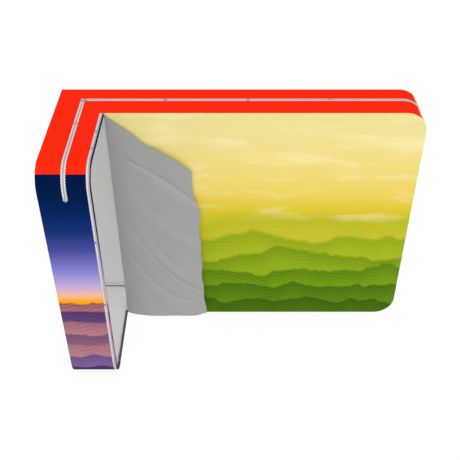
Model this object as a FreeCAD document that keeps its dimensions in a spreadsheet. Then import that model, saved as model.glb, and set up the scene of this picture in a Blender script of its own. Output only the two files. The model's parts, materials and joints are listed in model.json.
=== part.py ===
"""L-shaped display wall: a zip-on fabric cover over a plug-together tube frame, with a fabric door.

Millimetres. X runs along the long wall, -Y points to the front of the leg, Z is up.
"""
import FreeCAD, Part
import math
import os
import Sketcher

V = FreeCAD.Vector
HALF_RIGHT = math.sqrt(0.5)

# Driving dimensions
DRIVING = {
    "overall_width": 3048,
    "overall_depth": 1236,
    "overall_height": 2286,
    "wall_thickness": 397,
    "leg_thickness": 406,
    "corner_radius": 185,
    "cloth_thickness": 1.2,
    "cloth_gap": 0.3,
    "tube_diameter": 30,
    "tube_wall": 1.5,
    "spigot_length": 50,
    "spigot_wall": 1.5,
    "spigot_clearance": 0.2,
    "spigot_shoulder": 3,
    "hub_fillet": 3,
    "tee_gap": 1,
    "spreader_rise": 340,
    "mid_post_share": 0.5,
    "inner_post_offset": 30,
    "button_diameter": 8,
    "button_clearance": 0.2,
    "button_stand": 3.5,
    "button_setback": 25,
    "button_flange_width": 1.5,
    "button_flange_depth": 1,
    "button_flange_drop": 2,
    "leaf_length": 24,
    "leaf_width": 7,
    "leaf_thickness": 0.8,
    "zip_half_width": 17.5,
    "zip_slot": 1.4,
    "tooth_width": 4.5,
    "tooth_height": 2.2,
    "zip_back_inset": 181,
    "zip_left_inset": 207,
    "zip_end_drop": 260,
    "stop_length": 8,
    "stop_height": 3,
    "stop_half_width": 6,
    "door_tape_width": 26,
    "placket_front": 5,
    "placket_side": 28,
    "door_tooth_inset": 9,
    "box_rise": 6,
    "box_length": 12,
    "slider_length": 24,
    "slider_gap": 0.4,
    "slider_plate": 1.4,
    "slider_flange": 1.5,
    "slider_fillet": 3,
    "keel_length": 16,
    "keel_half_width": 5,
    "keel_thickness": 1,
    "keel_post_length": 6,
    "keel_post_width": 0.8,
    "bail_length": 14,
    "bail_width": 3,
    "bail_clear": 3,
    "bail_thickness": 1.2,
    "top_slider_place": 2272,
    "door_slider_rise": 60,
    "pull_length": 38,
    "pull_width": 9,
    "pull_thickness": 1.6,
    "pull_bar": 1.8,
    "pull_window_length": 7.6,
    "pull_window_width": 5.2,
    "pull_hole": 4,
    "loop_tape_thickness": 1,
    "loop_tape_gap": 0.1,
    "door_hem_gap": 6,
    "door_head_gap": 12,
    "door_seam_offset": 2.2,
    "door_bead_radius": 1.6,
    "door_width_low": 768,
    "door_width_high": 696,
    "door_width_head": 60,
    "door_corner_drop": 563,
    "door_lean": 0.038,
    "door_fold": 0.022,
    "door_stringer": 22,
}

# Loop tapes on the bottom rails, by the angles of their edges above the rail's side
SILL_TAPE_EDGES = (math.radians(-5), math.radians(98))
BACK_TAPE_EDGES = (math.radians(-45), math.radians(15))

doc = FreeCAD.newDocument("display_wall")
sheet = doc.addObject("Spreadsheet::Sheet", "dims")
for row, (alias, number) in enumerate(DRIVING.items(), start=1):
    sheet.set(f"A{row}", str(number))
    sheet.setAlias(f"A{row}", alias)
doc.recompute()


class Size:
    """A length: its value now and the spreadsheet expression that gives it."""

    def __init__(self, text, value):
        self.text = text
        self.value = value

    def joined(self, sign, other, value):
        return Size(f"({self.text} {sign} {other.text})", value)

    def __add__(self, other):
        other = as_size(other)
        return self.joined("+", other, self.value + other.value)

    def __sub__(self, other):
        other = as_size(other)
        return self.joined("-", other, self.value - other.value)

    def __mul__(self, other):
        other = as_size(other)
        return self.joined("*", other, self.value * other.value)

    def __truediv__(self, other):
        other = as_size(other)
        return self.joined("/", other, self.value / other.value)

    def __neg__(self):
        return as_size(0) - self


def as_size(length):
    if isinstance(length, Size):
        return length
    if length < 0:
        return Size(f"(0 - {-length:.12g})", float(length))
    return Size(f"{length:.12g}", float(length))


def size(alias):
    return Size(f"dims.{alias}", float(sheet.get(alias)))


# Sizes that the sub-parts share
width = size("overall_width")
depth = size("overall_depth")
height = size("overall_height")
thick = size("wall_thickness")
leg_thick = size("leg_thickness")
corner = size("corner_radius")
cloth = size("cloth_thickness")
tube = size("tube_diameter")
tube_radius = tube / 2
tube_bore = tube_radius - size("tube_wall")
spigot_radius = tube_bore - size("spigot_clearance")
spigot_bore = spigot_radius - size("spigot_wall")
spigot_length = size("spigot_length")
shoulder = size("spigot_shoulder")
setback = size("button_setback")
hole_radius = size("button_diameter") / 2 + size("button_clearance")
zip_half = size("zip_half_width")
slot_half = size("zip_slot") / 2
tooth_width = size("tooth_width")
tooth_height = size("tooth_height")
pull_thickness = size("pull_thickness")
bail_clear = size("bail_clear")

# Heights on a zip slider above the cover
plate_low = tooth_height + size("slider_gap")
plate_high = plate_low + size("slider_plate")
bail_high = plate_high + bail_clear + size("bail_thickness")

# Planes of the cover; the stops and the slider stand proud of the right end and of the leg's front
x_left = -(width + size("stop_height")) / 2
x_right = x_left + width
x_inner = x_left + leg_thick
y_nose = -(depth - bail_high) / 2
y_back = y_nose + depth
y_face = y_back - thick

# Centre lines of the zips and of the frame tubes
x_zip = x_left + size("zip_left_inset")
y_zip = y_back - size("zip_back_inset")
inset = cloth + size("cloth_gap") + tube_radius
bow_radius = corner - inset
x_left_tube = x_left + inset
x_inner_tube = x_inner - inset
x_right_tube = x_right - inset
y_back_tube = y_back - inset
y_face_tube = y_face + inset
y_nose_tube = y_nose + inset
z_low_tube = inset
z_top_tube = height - inset
x_mid = x_inner + (x_right - x_inner) * size("mid_post_share")
x_post = x_inner + size("inner_post_offset")
door_edge = size("placket_front") + size("door_tape_width")

X, Y, Z = V(1, 0, 0), V(0, 1, 0), V(0, 0, 1)
FACING = {"back": -Y, "front": Y, "left": X, "inner": -X}
REACH = {"main": x_right, "leg": -y_nose}
subparts = {}
buttons = {side: [] for side in FACING}
stubs = []


def bind(thing, path, length):
    thing.setExpression(path, as_size(length).text)


def turned(along_x, along_y, along_z):
    return FreeCAD.Rotation(along_x, along_y, along_z, "ZYX")


def place(thing, base, turn):
    numbers = [as_size(length).value for length in base]
    thing.Placement = FreeCAD.Placement(V(*numbers), turn)
    for axis, length in zip("xyz", base):
        bind(thing, f"Placement.Base.{axis}", length)


def new_body(name):
    return doc.addObject("PartDesign::Body", name)


def new_sketch(body, role, name, offset=None):
    plane = next(item for item in body.Origin.OriginFeatures if item.Role == role)
    sketch = body.newObject("Sketcher::SketchObject", f"{body.Name}_{name}")
    sketch.AttachmentSupport = (plane, [""])
    sketch.MapMode = "FlatFace"
    if offset is not None:
        sketch.AttachmentOffset = FreeCAD.Placement(V(0, 0, offset.value), FreeCAD.Rotation())
        bind(sketch, "AttachmentOffset.Base.z", offset)
    return sketch


def dimension(sketch, kind, where, length):
    index = sketch.addConstraint(Sketcher.Constraint(kind, *where, length.value))
    bind(sketch, f"Constraints[{index}]", length)


def fix_point(sketch, end, point):
    """Hold one point of the sketch at its two distances from the origin."""
    for kind, axis, length in (("DistanceX", -2, point[0]), ("DistanceY", -1, point[1])):
        length = as_size(length)
        if length.text == "0":
            sketch.addConstraint(Sketcher.Constraint("PointOnObject", *end, axis))
        else:
            dimension(sketch, kind, (-1, 1, *end), length)


def flat(point):
    return V(as_size(point[0]).value, as_size(point[1]).value, 0)


def short_arc(here, there, radius, way):
    """Arc of under a half circle from here to there; way is 1 anticlockwise and -1 clockwise."""
    chord = there - here
    rise = math.sqrt(radius ** 2 - (chord.Length / 2) ** 2)
    side = V(-chord.y, chord.x, 0).normalize() * way
    centre = (here + there) / 2 + side * rise
    first, last = (here, there) if way > 0 else (there, here)
    start = math.atan2(first.y - centre.y, first.x - centre.x)
    stop = math.atan2(last.y - centre.y, last.x - centre.x)
    if stop < start:
        stop += 2 * math.pi
    return Part.ArcOfCircle(Part.Circle(centre, Z, radius), start, stop)


def draw_outline(sketch, points, arcs=None):
    """Closed outline through the points; arcs maps a segment's number to its radius and way."""
    arcs = arcs or {}
    base = sketch.GeometryCount
    starts, ends = [], []
    for index, point in enumerate(points):
        here = flat(point)
        there = flat(points[(index + 1) % len(points)])
        if index in arcs:
            radius, way = arcs[index]
            sketch.addGeometry(short_arc(here, there, radius.value, way), False)
        else:
            way = 1
            sketch.addGeometry(Part.LineSegment(here, there), False)
        starts.append((base + index, 1 if way > 0 else 2))
        ends.append((base + index, 2 if way > 0 else 1))
    for index in range(len(points)):
        sketch.addConstraint(Sketcher.Constraint("Coincident", *ends[index - 1], *starts[index]))
    for start, point in zip(starts, points):
        fix_point(sketch, start, point)
    for index, (radius, way) in arcs.items():
        dimension(sketch, "Radius", (base + index,), radius)


def draw_circle(sketch, centre, radius):
    index = sketch.addGeometry(Part.Circle(flat(centre), Z, radius.value), False)
    fix_point(sketch, (index, 3), centre)
    dimension(sketch, "Radius", (index,), radius)


def draw_ring(sketch, centre, outer, inner):
    draw_circle(sketch, centre, outer)
    draw_circle(sketch, centre, inner)


def draw_rectangle(sketch, low, high):
    draw_outline(sketch, [low, (high[0], low[1]), high, (low[0], high[1])])


def pad(body, sketch, length, backward=False):
    feature = body.newObject("PartDesign::Pad", f"{sketch.Name}_pad")
    feature.Profile = sketch
    feature.Reversed = backward
    bind(feature, "Length", length)
    return feature


def pocket_through(body, sketch, backward=False):
    """Cut from the sketch plane out through one side, and make sure that material went."""
    doc.recompute()
    before = body.Shape.Volume
    feature = body.newObject("PartDesign::Pocket", f"{sketch.Name}_pocket")
    feature.Profile = sketch
    feature.Type = "ThroughAll"
    feature.Reversed = backward
    doc.recompute()
    if not body.Shape.Volume < before:
        raise RuntimeError(f"{sketch.Name} cut nothing")


def round_edges(body, feature, numbers, radius):
    rounded = body.newObject("PartDesign::Fillet", f"{feature.Name}_rounded")
    rounded.Base = (feature, [f"Edge{number}" for number in numbers])
    bind(rounded, "Radius", radius)
    doc.recompute()


def keep(name, thing):
    thing.Label = name
    subparts[name] = thing


def gather(name, things):
    group = doc.addObject("Part::Compound", name)
    group.Links = things
    keep(name, group)


def fuse(name, things):
    joined = doc.addObject("Part::MultiFuse", name)
    joined.Shapes = things
    joined.Refine = True
    keep(name, joined)


def snap_button(facing, spot, along):
    """Note one snap button: the tube axis point under it and the way the tube runs."""
    buttons[facing].append((V(*[as_size(length).value for length in spot]), FACING[facing], along))


def stepped(base, along, distance):
    """The point a distance from base along one axis direction."""
    return [start + distance * part if part else as_size(start) for start, part in zip(base, along)]


# Frame: straight tubes, bows, hubs, tee stubs and snap buttons
def straight_tube(name, base, along, facing, length, plug=False):
    """Tube with button holes near its ends; with plug its far end steps down to a spigot."""
    body = new_body(name)
    profile = new_sketch(body, "XZ_Plane", "profile")
    if plug:
        points = [(tube_bore, 0), (tube_radius, 0), (tube_radius, length), (spigot_radius, length),
                  (spigot_radius, length + spigot_length), (spigot_bore, length + spigot_length),
                  (spigot_bore, length - shoulder), (tube_bore, length - shoulder)]
    else:
        points = [(tube_bore, 0), (tube_radius, 0), (tube_radius, length), (tube_bore, length)]
    draw_outline(profile, points)
    turn = body.newObject("PartDesign::Revolution", f"{name}_turned")
    turn.Profile = profile
    turn.ReferenceAxis = (profile, ["V_Axis"])
    turn.Angle = 360
    far_hole = length + setback if plug else length - setback
    holes = new_sketch(body, "XZ_Plane", "holes")
    draw_circle(holes, (0, setback), hole_radius)
    draw_circle(holes, (0, far_hole), hole_radius)
    pocket_through(body, holes)
    inward = FACING[facing]
    place(body, base, turned(inward.cross(along), inward, along))
    if plug:
        snap_button(facing, stepped(base, along, far_hole), along)
    return body


def two_part_tube(names, base, along, facing, length):
    half = length / 2
    first = straight_tube(names[0], base, along, facing, half, plug=True)
    second = straight_tube(names[1], stepped(base, along, half), along, facing, half)
    return [first, second]


def add_spigot(body, role, name, centre, offset):
    """Shoulder that closes the tube's end and the thinner spigot beyond it."""
    for part, radius, length in (("shoulder", tube_radius, shoulder),
                                 ("spigot", spigot_radius, shoulder + spigot_length)):
        ring = new_sketch(body, role, f"{name}_{part}", offset)
        draw_ring(ring, centre, radius, spigot_bore)
        pad(body, ring, length, backward=True)


def bow(name, centre, outward, up, facing, plug):
    """Bent end tube: a spigot into the rail, a quarter bend and half an upright."""
    body = new_body(name)
    leg = height / 2 - corner
    bend_ring = new_sketch(body, "XY_Plane", "bend")
    draw_ring(bend_ring, (bow_radius, 0), tube_radius, tube_bore)
    bend = body.newObject("PartDesign::Revolution", f"{name}_bend_turned")
    bend.Profile = bend_ring
    bend.ReferenceAxis = (bend_ring, ["V_Axis"])
    bend.Angle = 90
    bend.Reversed = True
    leg_ring = new_sketch(body, "XY_Plane", "leg")
    draw_ring(leg_ring, (bow_radius, 0), tube_radius, tube_bore)
    pad(body, leg_ring, leg, backward=True)
    add_spigot(body, "YZ_Plane", "rail", (0, bow_radius), None)
    if plug:
        add_spigot(body, "XY_Plane", "split", (bow_radius, 0), shoulder - leg)
    split_hole = leg + setback if plug else leg - setback
    rail_hole = shoulder + setback
    across = up.cross(outward)
    inward = FACING[facing]
    holes = new_sketch(body, "XZ_Plane", "holes")
    draw_circle(holes, (-rail_hole, bow_radius), hole_radius)
    draw_circle(holes, (bow_radius, -split_hole), hole_radius)
    pocket_through(body, holes, backward=across.dot(inward) < 0)
    place(body, centre, turned(outward, across, up))
    on_rail = stepped(stepped(centre, up, bow_radius), outward, -rail_hole)
    snap_button(facing, on_rail, outward)
    if plug:
        snap_button(facing, stepped(stepped(centre, outward, bow_radius), up, -split_hole), up)
    keep(name, body)


def end_bows(name, centre_xy, outward, facing):
    bow(f"{name}_upper_bow", [*centre_xy, height - corner], outward, Z, facing, True)
    bow(f"{name}_lower_bow", [*centre_xy, corner], outward, -Z, facing, False)


def hub(name, centre, arms):
    """Corner block with one hollow spigot for each tube that meets there."""
    body = new_body(name)
    block = new_sketch(body, "XY_Plane", "block", -tube_radius)
    draw_rectangle(block, (-tube_radius, -tube_radius), (tube_radius, tube_radius))
    cube = pad(body, block, tube)
    doc.recompute()
    round_edges(body, cube, range(1, len(cube.Shape.Edges) + 1), size("hub_fillet"))
    roles = {"X": "YZ_Plane", "Y": "XZ_Plane", "Z": "XY_Plane"}
    for number, (along, facing) in enumerate(arms):
        letter = "X" if along.x else "Y" if along.y else "Z"
        sign = along.x + along.y + along.z
        ring = new_sketch(body, roles[letter], f"arm{number}")
        draw_ring(ring, (0, 0), spigot_radius, spigot_bore)
        pad(body, ring, tube_radius + spigot_length, backward=(sign > 0) == (letter == "Y"))
        away = tube_radius + setback
        inward = FACING[facing]
        hole = new_sketch(body, "YZ_Plane" if inward.x else "XZ_Plane", f"hole{number}")
        centre_in_sketch = (0, away * sign) if letter == "Z" else (away * sign, 0)
        draw_circle(hole, centre_in_sketch, hole_radius)
        pocket_through(body, hole, backward=inward.x > 0 or inward.y < 0)
        snap_button(facing, stepped(centre, along, away), along)
    place(body, centre, FreeCAD.Rotation())
    keep(name, body)


def tee(spot, along, facing, carrier):
    """Note one stub on a tube and the button in it; spot is on the carrying tube's axis."""
    stubs.append((V(*[as_size(length).value for length in spot]), along, FACING[facing], carrier))
    snap_button(facing, stepped(spot, along, tube_radius + size("tee_gap") + setback), along)


def stub_pattern(carrier):
    """Hollow stub along Z whose foot is coped to sit on a tube that runs along Y or X."""
    body = new_body(f"stub_pattern_{carrier}")
    ring = new_sketch(body, "XY_Plane", "ring")
    draw_ring(ring, (0, 0), spigot_radius, spigot_bore)
    pad(body, ring, tube_radius + size("tee_gap") + spigot_length)
    hole = new_sketch(body, "XZ_Plane", "hole")
    draw_circle(hole, (0, tube_radius + size("tee_gap") + setback), hole_radius)
    pocket_through(body, hole)
    cope = new_sketch(body, {"Y": "XZ_Plane", "X": "YZ_Plane"}[carrier], "cope", -tube)
    draw_circle(cope, (0, 0), tube_radius)
    doc.recompute()
    cut = body.newObject("PartDesign::Pocket", f"{body.Name}_coped")
    cut.Profile = cope
    cut.Reversed = True
    bind(cut, "Length", tube * 2)
    doc.recompute()
    return body


def button_pattern():
    """Domed button with its flange and leaf, standing along Z over a tube that runs along X."""
    body = new_body("button_pattern")
    radius = size("button_diameter") / 2
    top = tube_radius + size("button_stand")
    flange_top = spigot_bore - size("button_flange_drop")
    flange_low = flange_top - size("button_flange_depth")
    flange_radius = radius + size("button_flange_width")
    profile = new_sketch(body, "XZ_Plane", "profile")
    points = [(0, flange_low), (flange_radius, flange_low), (flange_radius, flange_top),
              (radius, flange_top), (radius, top - radius / 2), (radius / 2, top), (0, top)]
    draw_outline(profile, points, {4: (radius, 1)})
    turn = body.newObject("PartDesign::Revolution", "button_pattern_turned")
    turn.Profile = profile
    turn.ReferenceAxis = (profile, ["V_Axis"])
    turn.Angle = 360
    leaf = new_sketch(body, "XY_Plane", "leaf", flange_low)
    half = size("leaf_width") / 2
    draw_rectangle(leaf, (-radius, -half), (size("leaf_length") - radius, half))
    pad(body, leaf, size("leaf_thickness"), backward=True)
    return body


def copies(name, seats):
    """One node of separate solids, each a pattern's copy at its own seat."""
    group = doc.addObject("Part::Feature", name)
    shapes = []
    for pattern, spot, turn in seats:
        shape = pattern.Shape.copy()
        shape.Placement = FreeCAD.Placement(spot, turn)
        shapes.append(shape)
    group.Shape = Part.makeCompound(shapes)
    keep(name, group)


def build_frame():
    rail_stop = x_right - corner - shoulder
    nose_stop = y_nose + corner + shoulder
    for level, z_tube in (("top", z_top_tube), ("bottom", z_low_tube)):
        for side, x_from, y_tube in (("back", x_left_tube, y_back_tube),
                                     ("front", x_inner_tube, y_face_tube)):
            base = [x_from + tube_radius, y_tube, z_tube]
            names = [f"{side}_{level}_rail_left", f"{side}_{level}_rail_right"]
            for name, body in zip(names, two_part_tube(names, base, X, side, rail_stop - base[0])):
                keep(name, body)
        for side, x_tube, y_from in (("left", x_left_tube, y_back_tube),
                                     ("inner", x_inner_tube, y_face_tube)):
            base = [x_tube, y_from - tube_radius, z_tube]
            name = f"{side}_{level}_rail"
            keep(name, straight_tube(name, base, -Y, side, base[1] - nose_stop))
    for side, y_tube in (("back", y_back_tube), ("front", y_face_tube)):
        end_bows(side, [x_right - corner, y_tube], X, side)
    for side, x_tube in (("left", x_left_tube), ("inner", x_inner_tube)):
        end_bows(side, [x_tube, y_nose + corner], -Y, side)
    for level, z_tube, up in (("top", z_top_tube, -Z), ("bottom", z_low_tube, Z)):
        hub(f"back_hub_{level}", [x_left_tube, y_back_tube, z_tube],
            [(X, "back"), (-Y, "left"), (up, "back")])
        hub(f"inner_hub_{level}", [x_inner_tube, y_face_tube, z_tube],
            [(X, "front"), (-Y, "inner"), (Y, "inner")])
    build_posts()
    build_spreaders()


def teed_post(name, x_tube, y_tube, side):
    """Two-part post between tee stubs on the rails under and over it."""
    foot = z_low_tube + tube_radius + size("tee_gap")
    tee([x_tube, y_tube, z_low_tube], Z, side, X)
    tee([x_tube, y_tube, z_top_tube], -Z, side, X)
    halves = [f"{name}_lower", f"{name}_upper"]
    return two_part_tube(halves, [x_tube, y_tube, foot], Z, side, height - foot * 2)


def build_posts():
    """Corner post, post behind the door's hinge, and the posts half way along the wall."""
    low = z_low_tube + tube_radius
    names = ["back_post_lower", "back_post_upper"]
    posts = two_part_tube(names, [x_left_tube, y_back_tube, low], Z, "back", height - low * 2)
    posts += teed_post("inner_post", x_post, y_face_tube, "front")
    for body in posts:
        keep(body.Name, body)
    for side, y_tube in (("back", y_back_tube), ("front", y_face_tube)):
        gather(f"mid_post_{side}", teed_post(f"mid_post_{side}", x_mid, y_tube, side))


def build_spreaders():
    gap = tube_radius + size("tee_gap")
    rise = size("spreader_rise")
    span = thick - inset * 2 - gap * 2
    leg_span = leg_thick - inset * 2 - gap * 2
    for name, x_tube in (("end_spreaders", x_right_tube), ("mid_spreaders", x_mid)):
        tubes = []
        for number, z_tube in enumerate((rise, height - rise)):
            base = [x_tube, y_face_tube + gap, z_tube]
            tubes.append(straight_tube(f"{name}_{number}", base, Y, "inner", span))
            tee([x_tube, y_face_tube, z_tube], Y, "inner", Z)
            tee([x_tube, y_back_tube, z_tube], -Y, "inner", Z)
        gather(name, tubes)
    tubes = []
    for number, z_tube in enumerate((rise, height - rise)):
        base = [x_left_tube + gap, y_nose_tube, z_tube]
        tubes.append(straight_tube(f"leg_spreaders_{number}", base, X, "front", leg_span))
        tee([x_left_tube, y_nose_tube, z_tube], X, "front", Z)
        tee([x_inner_tube, y_nose_tube, z_tube], -X, "front", Z)
    gather("leg_spreaders", tubes)
    tubes = []
    for number, z_tube in enumerate((z_low_tube, z_top_tube)):
        base = [x_inner_tube, y_face_tube + tube_radius, z_tube]
        tubes.append(straight_tube(f"corner_ties_{number}", base, Y, "inner", span + size("tee_gap")))
        tee([x_inner_tube, y_back_tube, z_tube], -Y, "inner", X)
    gather("corner_ties", tubes)


def build_stubs_and_buttons():
    patterns = {carrier: stub_pattern(carrier) for carrier in ("X", "Y")}
    button = button_pattern()
    doc.recompute()
    seats = []
    for spot, along, facing, carrier in stubs:
        pattern = patterns["X" if facing.cross(carrier).Length else "Y"]
        seats.append((pattern, spot, turned(facing.cross(along), facing, along)))
    copies("tee_stubs", seats)
    for side, spots in buttons.items():
        seats = [(button, spot, turned(along, facing.cross(along), facing)) for spot, facing, along in spots]
        copies(f"snap_buttons_{side}", seats)


# Cover: flat faces, bands that follow the rounded ends, and the floor
def path(reach, start, stops, end=None):
    """Stations on the cover's edge line: place, outward direction, and whether an arc leads on."""
    tip = corner * HALF_RIGHT
    stations = {
        "flat": (start, height, 0, 1, False),
        "arc": (reach - corner, height, 0, 1, True),
        "middle": (reach - corner + tip, height - corner + tip, HALF_RIGHT, HALF_RIGHT, True),
        "side": (reach, height - corner, 1, 0, False),
        "drop": (reach, end, 1, 0, False),
        "low": (reach, corner, 1, 0, True),
        "floor": (reach - corner, as_size(0), 0, -1, False),
    }
    return [stations[stop] for stop in stops]


def moved(place_now, part, offset):
    return place_now + offset * part if part else place_now


def strip(name, run, stations, outer, inner, side, across):
    """Band that follows the stations between two offsets, running inward from one side."""
    body = new_body(name)
    sketch = new_sketch(body, "XY_Plane", "band")
    outer, inner = as_size(outer), as_size(inner)
    rim = [(moved(u, nu, outer), moved(v, nv, outer)) for u, v, nu, nv, bends in stations]
    back = [(moved(u, nu, inner), moved(v, nv, inner)) for u, v, nu, nv, bends in reversed(stations)]
    arcs = {}
    for index, station in enumerate(stations[:-1]):
        if station[4]:
            arcs[index] = (corner + outer, -1)
            arcs[2 * len(stations) - 2 - index] = (corner + inner, 1)
    draw_outline(sketch, rim + back, arcs)
    pad(body, sketch, across)
    if run == "main":
        place(body, [0, side, 0], turned(X, Z, -Y))
    else:
        place(body, [side, 0, 0], turned(-Y, Z, -X))
    return body


def face_panel(name, run, start, side):
    """Flat face with its two free corners rounded."""
    body = new_body(name)
    sketch = new_sketch(body, "XY_Plane", "face")
    reach = REACH[run]
    points = [(start, 0), (reach - corner, 0), (reach, corner), (reach, height - corner),
              (reach - corner, height), (start, height)]
    draw_outline(sketch, points, {1: (corner, 1), 3: (corner, 1)})
    pad(body, sketch, cloth)
    if run == "main":
        place(body, [0, side, 0], turned(X, Z, -Y))
    else:
        place(body, [side, 0, 0], turned(-Y, Z, -X))
    keep(name, body)


def box(name, low, lengths):
    block = doc.addObject("Part::Box", name)
    for edge, length in zip(("Length", "Width", "Height"), lengths):
        bind(block, edge, length)
    place(block, low, FreeCAD.Rotation())
    return block


def slotted_end(name, run, side, across, slot_low, slot_size):
    """End band from the middle of the top bend to the floor, slotted where the top zip comes down."""
    stations = path(REACH[run], None, ["middle", "side", "low", "floor"])
    cut = doc.addObject("Part::Cut", name)
    cut.Base = strip(f"{name}_band", run, stations, 0, -cloth, side, across)
    cut.Tool = box(f"{name}_slot", slot_low, slot_size)
    keep(name, cut)


def build_cover():
    face_panel("front_panel", "main", x_inner, y_face + cloth)
    face_panel("back_panel", "main", x_left, y_back)
    face_panel("leg_side_panel", "leg", -(y_back - cloth), x_left + cloth)
    drop = size("zip_end_drop")
    slotted_end("right_end_panel", "main", y_back - cloth, thick - cloth * 2,
                [x_right - corner, y_zip - zip_half, height - drop], [corner * 2, zip_half * 2, drop])
    slotted_end("leg_end_panel", "leg", x_inner - door_edge, leg_thick - cloth - door_edge,
                [x_zip - zip_half, y_nose - corner, height - drop], [zip_half * 2, corner * 2, drop])
    stops = ["flat", "arc", "middle"]
    fuse("top_band_outer", [
        strip("top_outer_main", "main", path(x_right, x_left + cloth, stops), 0, -cloth,
              y_back - cloth, size("zip_back_inset") - zip_half - cloth),
        strip("top_outer_leg", "leg", path(-y_nose, cloth - y_back, stops), 0, -cloth,
              x_zip - zip_half, size("zip_left_inset") - zip_half - cloth)])
    fuse("top_band_inner", [
        strip("top_inner_main", "main", path(x_right, x_zip + zip_half, stops), 0, -cloth,
              y_zip - zip_half, thick - size("zip_back_inset") - zip_half - cloth),
        strip("top_inner_leg", "leg", path(-y_nose, zip_half - y_zip, stops), 0, -cloth,
              x_inner - door_edge, leg_thick - size("zip_left_inset") - zip_half - door_edge)])
    build_floor()


def build_floor():
    """Floor panel, with the plan of the wall short of its rounded ends."""
    floor = new_body("floor_panel")
    sketch = new_sketch(floor, "XY_Plane", "outline")
    draw_outline(sketch, [
        (x_left + cloth, y_nose + corner), (x_inner, y_nose + corner),
        (x_inner, y_face + cloth), (x_right - corner, y_face + cloth),
        (x_right - corner, y_back - cloth), (x_left + cloth, y_back - cloth)])
    pad(floor, sketch, cloth)
    keep("floor_panel", floor)


# Zips: stringers, stops, sliders and pulls
def top_stringer(name, main_side, main_start, leg_side, leg_start, teeth):
    """Half of the top zip: tape and tooth row along the long wall and along the leg."""
    stops = ["flat", "arc", "side", "drop"]
    end = height - size("zip_end_drop")
    tape = zip_half - slot_half
    fuse(name, [
        strip(f"{name}_main", "main", path(x_right, main_start, stops, end), 0, -cloth, main_side, tape),
        strip(f"{name}_leg", "leg", path(-y_nose, leg_start, stops, end), 0, -cloth, leg_side, tape),
        strip(f"{name}_main_teeth", "main", path(x_right, teeth[1], stops, end), tooth_height, -cloth / 2,
              teeth[0], tooth_width),
        strip(f"{name}_leg_teeth", "leg", path(-y_nose, teeth[3], stops, end), tooth_height, -cloth / 2,
              teeth[2], tooth_width)])


def build_zips():
    row = slot_half + tooth_width
    top_stringer("top_zip_outer", y_zip + zip_half, x_zip - zip_half, x_zip - slot_half,
                 -(y_zip + zip_half), [y_zip + row, x_zip - row, x_zip - slot_half, -(y_zip + row)])
    top_stringer("top_zip_inner", y_zip - slot_half, x_zip + slot_half, x_zip + zip_half, slot_half - y_zip,
                 [y_zip - slot_half, x_zip + slot_half, x_zip + row, slot_half - y_zip])
    start = -(y_face + cloth)
    stops = ["flat", "arc", "side", "low", "floor"]
    box_top = corner + size("box_rise") + size("box_length")
    tape = path(-y_nose, start, stops)
    teeth = path(-y_nose, start, ["flat", "arc", "side", "drop"], box_top)
    fuse("door_zip_fixed", [
        strip("door_tape", "leg", tape, 0, -cloth, x_inner - size("placket_front"), size("door_tape_width")),
        strip("door_teeth", "leg", teeth, tooth_height, -cloth / 2,
              x_inner - size("door_tooth_inset"), tooth_width)])
    side_path = path(-y_nose, start + cloth, stops)
    fuse("door_placket", [
        strip("placket_front", "leg", tape, 0, -cloth, x_inner, size("placket_front")),
        strip("placket_side", "leg", side_path, 0, -size("placket_side"), x_inner, cloth)])
    build_stops(box_top)


def build_stops(box_top):
    tall, half, length = size("stop_height"), size("stop_half_width"), size("stop_length")
    z_stop = height - size("zip_end_drop") - length
    x_row = x_inner - size("door_tooth_inset") + slot_half
    gather("zip_stops", [
        box("stop_on_leg", [x_zip - half, y_nose - tall, z_stop], [half * 2, tall, length]),
        box("stop_on_end", [x_right, y_zip - half, z_stop], [tall, half * 2, length]),
        box("door_zip_box", [x_row - half, y_nose - tall, box_top - size("box_length")],
            [half * 2, tall, size("box_length")])])


def slider(name, base, turn, keel):
    """Zip slider: a plate with flanges over the teeth, a bail for the pull and a keel under the tapes."""
    body = new_body(name)
    half = size("slider_length") / 2
    reach = slot_half + tooth_width + size("slider_gap")
    outside = reach + size("slider_flange")
    plate = new_sketch(body, "XY_Plane", "plate", plate_low)
    draw_rectangle(plate, (-half, -outside), (half, outside))
    slab = pad(body, plate, size("slider_plate"))
    doc.recompute()
    uprights = [number for number, edge in enumerate(slab.Shape.Edges, start=1)
                if edge.BoundBox.ZLength > cloth.value / 2]
    round_edges(body, slab, uprights, size("slider_fillet"))
    flange_half = half - size("slider_fillet")
    for number, (low, high) in enumerate(((reach, outside), (-outside, -reach))):
        flange = new_sketch(body, "XY_Plane", f"flange{number}", size("slider_gap"))
        draw_rectangle(flange, (-flange_half, low), (flange_half, high))
        pad(body, flange, plate_high - size("slider_gap"))
    bail_half = size("bail_length") / 2
    bar = size("bail_thickness")
    bail = new_sketch(body, "XZ_Plane", "bail", -size("bail_width") / 2)
    draw_outline(bail, [
        (-bail_half, plate_low), (-bail_half, plate_high + bail_clear), (bar - bail_half, bail_high),
        (bail_half - bar, bail_high), (bail_half, plate_high + bail_clear), (bail_half, plate_low),
        (bail_half - bar, plate_low), (bail_half - bar, plate_high + bail_clear),
        (bar - bail_half, plate_high + bail_clear), (bar - bail_half, plate_low)])
    pad(body, bail, size("bail_width"))
    if keel:
        keel_top = -(cloth + size("slider_gap"))
        post = new_sketch(body, "XY_Plane", "keel_post", keel_top)
        post_half, post_side = size("keel_post_length") / 2, size("keel_post_width") / 2
        draw_rectangle(post, (-post_half, -post_side), (post_half, post_side))
        pad(body, post, plate_high - keel_top)
        base_plate = new_sketch(body, "XY_Plane", "keel", keel_top)
        keel_half, keel_side = size("keel_length") / 2, size("keel_half_width")
        draw_rectangle(base_plate, (-keel_half, -keel_side), (keel_half, keel_side))
        pad(body, base_plate, size("keel_thickness"), backward=True)
    place(body, base, turn)
    keep(name, body)


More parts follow.
